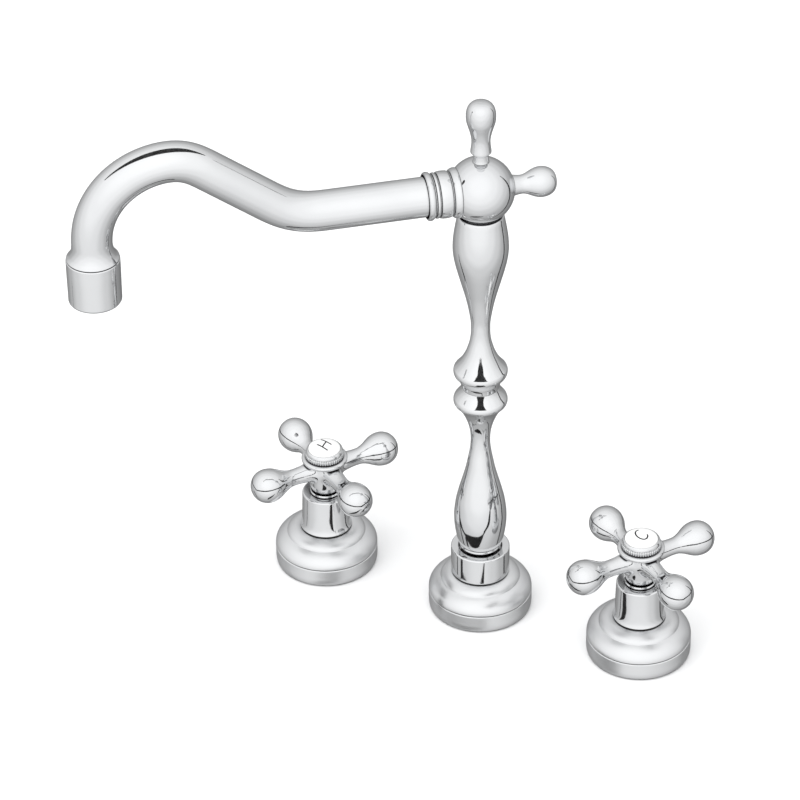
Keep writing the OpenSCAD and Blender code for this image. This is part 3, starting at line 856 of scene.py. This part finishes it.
def stage_floor():
    size = 30.0
    verts = [(-size, -size, 0), (size, -size, 0), (size, size, 0), (-size, size, 0)]
    floor = bpy.data.objects.new("floor", mesh_from("floor", verts, [(0, 1, 2, 3)]))
    bpy.context.scene.collection.objects.link(floor)
    mat, nodes, links, shader = new_look("pale_floor", 0.9)
    mottle(nodes, links, 2, (0.92, 0.92, 0.92), (0.94, 0.94, 0.94), shader.inputs["Base Color"])
    floor.data.materials.append(mat)
    floor.visible_glossy = False


FRONT = (18.0, 42.0)
TENT_SHADES = [(0, 0.22), (0.1, 0.36), (0.25, 0.58), (0.45, 0.86), (0.62, 1.08), (0.8, 1.25), (1, 1.4)]


def toward(azimuth, elevation):
    """Unit vector to a place round the object, with the same angles as the camera's."""
    a, e = math.radians(azimuth), math.radians(elevation)
    return Vector((math.sin(a) * math.cos(e), -math.cos(a) * math.cos(e), math.sin(e)))


def grey_ramp(nodes, stops):
    ramp = nodes.new("ShaderNodeValToRGB")
    ramp.color_ramp.interpolation = "EASE"
    while len(ramp.color_ramp.elements) < len(stops):
        ramp.color_ramp.elements.new(0.5)
    for element, (position, shade) in zip(ramp.color_ramp.elements, stops):
        element.position = position
        element.color = (shade, shade * 1.005, shade * 1.01, 1)
    return ramp


def tent():
    """A soft studio tent, white in front of the object and greyer all the way round to its back."""
    world = bpy.data.worlds.new("tent")
    bpy.context.scene.world = world
    world.use_nodes = True
    nodes, links = world.node_tree.nodes, world.node_tree.links
    where = nodes.new("ShaderNodeTexCoord")
    forward = nodes.new("ShaderNodeVectorMath")
    forward.operation = "DOT_PRODUCT"
    forward.inputs[1].default_value = toward(*FRONT)
    links.new(where.outputs["Generated"], forward.inputs[0])
    facing = nodes.new("ShaderNodeMapRange")
    facing.inputs["From Min"].default_value = -1
    links.new(forward.outputs["Value"], facing.inputs["Value"])
    shades = grey_ramp(nodes, TENT_SHADES)
    links.new(facing.outputs["Result"], shades.inputs["Fac"])
    links.new(shades.outputs["Color"], nodes["Background"].inputs["Color"])


TENT_R = 3.0
TENT_CENTRE_Z = 0.15
# Courses of (azimuth, elevation, half width) in degrees, on a sphere round the object. TENT_R is in metres.
FAR_CARDS = {
    "right_gap": [(128, -72, 0.6), (133, -45, 2.6), (134, -15, 3.2), (132, 15, 2.4), (130, 35, 0.6)],
    "left_gap": [(-80, -66, 0.6), (-77, -48, 2.4), (-76, -30, 0.6)],
}


def upright(azimuth, radius, spots):
    """A near card's course that runs straight up, from spots of (height, half width)."""
    return [(azimuth, radius, height, half) for height, half in spots]


CREST = [
    (104, 372, 2), (125, 383, 8), (150, 391, 13), (175, 390, 13), (198, 378, 10), (216, 360, 5),
    (228, 340, 1),
]
UPPER_BELL = [(173, 9), (176, 8.5), (178, 7), (179, 4.8), (180, 4), (180.8, 2)]
LOWER_BELL = [(152.5, 8), (155, 6), (158, 5), (161, 3.5)]
# Courses of (azimuth in degrees, radius, height, half width), each named after what mirrors it.
NEAR_CARDS = {
    "upper_bell": upright(CAMERA_AZIMUTH, 22, UPPER_BELL),
    "lower_bell": upright(CAMERA_AZIMUTH, 22, LOWER_BELL),
    "crescent": [(-52, 130, -50, 2), (-46, 130, -66, 9), (-27, 130, -87, 20), (-7, 130, -103, 27),
                 (15, 130, -95, 22), (34, 130, -63, 9), (41, 130, -42, 2)],
    "left_arm": [(-69, 45, 60, 1), (-60, 45, 50, 3), (-53, 45, 36, 5), (-40, 45, 25, 4)],
    "right_arm": [(38, 45, 32, 1.5), (42, 45, 38, 3.5), (51, 45, 46, 4.5), (60, 45, 60, 3),
                  (64, 45, 71, 1)],
    "collar_stripe": upright(-39, 45, [(-2, 3.5), (20, 3.5)]),
    "crest": [(SPOUT_AZIMUTH, *spot) for spot in CREST],
}
HALO_GAP = 6
HALO_HALF = 0.65
HALO_START = 16
HALO_RISE = 0.34


def card(name, spots, halves):
    """A thin black strip through spots round the object, each with a half width."""
    verts = []
    for i, (here, half) in enumerate(zip(spots, halves)):
        ahead = spots[min(i + 1, len(spots) - 1)] - spots[max(i - 1, 0)]
        side = ahead.cross(here).normalized() * half
        verts += [here + side, here - side]
    faces = [(2 * i, 2 * i + 1, 2 * i + 3, 2 * i + 2) for i in range(len(spots) - 1)]
    show_in_reflections(name, verts, faces)


def show_in_reflections(name, verts, faces):
    """Stages a black strip that the camera and the light don't see."""
    strip = bpy.data.objects.new(name, mesh_from(name, verts, faces))
    bpy.context.scene.collection.objects.link(strip)
    strip.visible_camera = False
    strip.visible_shadow = False
    strip.visible_diffuse = False
    strip.data.materials.append(LOOKS["rubber"])


def cards():
    """Puts up every black strip, far and near, and the bands round the handles."""
    for name, course in FAR_CARDS.items():
        course = smooth_run(course, 2.0)
        spots = [toward(a, e) * TENT_R + Vector((0, 0, TENT_CENTRE_Z)) for a, e, _ in course]
        card(name, spots, [math.tan(math.radians(half)) * TENT_R for *_, half in course])
    for name, course in NEAR_CARDS.items():
        course = smooth_run(course, 4.0)
        spots = [toward(a, 0) * r * MM + Vector((0, 0, z * MM)) for a, r, z, _ in course]
        card(name, spots, [half * MM for *_, half in course])
    for v, x in VALVE_X.items():
        halo(v, x)


def halo(name, x):
    """A fine black band round a cross handle, which its knobs and arms mirror as a dark horizon line."""
    edge = []
    for u, r in smooth_run(ARM, 1.0):
        if u > HALO_START:
            ahead = HALO_GAP * max(0, (u - KNOB_X) / KNOB_R)
            aside = HALO_GAP * min(1, (KNOB_X + KNOB_R - u) / KNOB_R)
            edge.append((u + ahead, r + aside, ARM_Z + HALO_RISE * r))
    course = [(u, -v, z) for u, v, z in edge] + edge[::-1]
    loop = []
    for quarter in range(4):
        turn = Matrix.Rotation(HANDLE_YAW + quarter * math.pi / 2, 4, "Z")
        loop += [Vector((x, 0, 0)) + turn @ Vector(spot) for spot in course]
    loop.append(loop[0])
    verts = [(spot + Vector((0, 0, lift))) * MM for spot in loop for lift in (-HALO_HALF, HALO_HALF)]
    faces = [(2 * i, 2 * i + 1, 2 * i + 3, 2 * i + 2) for i in range(len(loop) - 1)]
    show_in_reflections(f"{name}_halo", verts, faces)


def key_light():
    light = bpy.data.lights.new("key", "AREA")
    light.shape = "DISK"
    light.size = 1.6
    light.energy = 12
    lamp = bpy.data.objects.new("key", light)
    bpy.context.scene.collection.objects.link(lamp)
    way = toward(-20, 65)
    lamp.location = way * 2.0
    lamp.rotation_euler = (-way).to_track_quat("-Z", "Y").to_euler()
    lamp.visible_glossy = False


CAMERA_DISTANCE = 2.4
AIM_SIDE = -1.136
AIM_UP = 2.84
ROLL = -0.704
LENS = 182.7


def add_camera():
    data = bpy.data.cameras.new("camera")
    data.lens = LENS
    data.sensor_width = 36
    camera = bpy.data.objects.new("camera", data)
    bpy.context.scene.collection.objects.link(camera)
    camera.location = toward(CAMERA_AZIMUTH, CAMERA_ELEVATION) * CAMERA_DISTANCE
    ahead = -camera.location.normalized()
    side = ahead.cross(Vector((0, 0, 1))).normalized()
    up = side.cross(ahead)
    ahead = ahead * math.cos(math.radians(AIM_UP)) + up * math.sin(math.radians(AIM_UP))
    ahead = ahead * math.cos(math.radians(AIM_SIDE)) + side * math.sin(math.radians(AIM_SIDE))
    level = ahead.to_track_quat("-Z", "Y")
    camera.rotation_mode = "QUATERNION"
    camera.rotation_quaternion = level @ Matrix.Rotation(math.radians(ROLL), 3, "Z").to_quaternion()
    bpy.context.scene.camera = camera


def main():
    dress_cad_nodes()
    deck_flanges()
    turned_valve_parts()
    column()
    spout()
    letters()
    stage_floor()
    tent()
    cards()
    key_light()
    add_camera()
    bpy.context.scene.view_settings.view_transform = "Standard"


main()
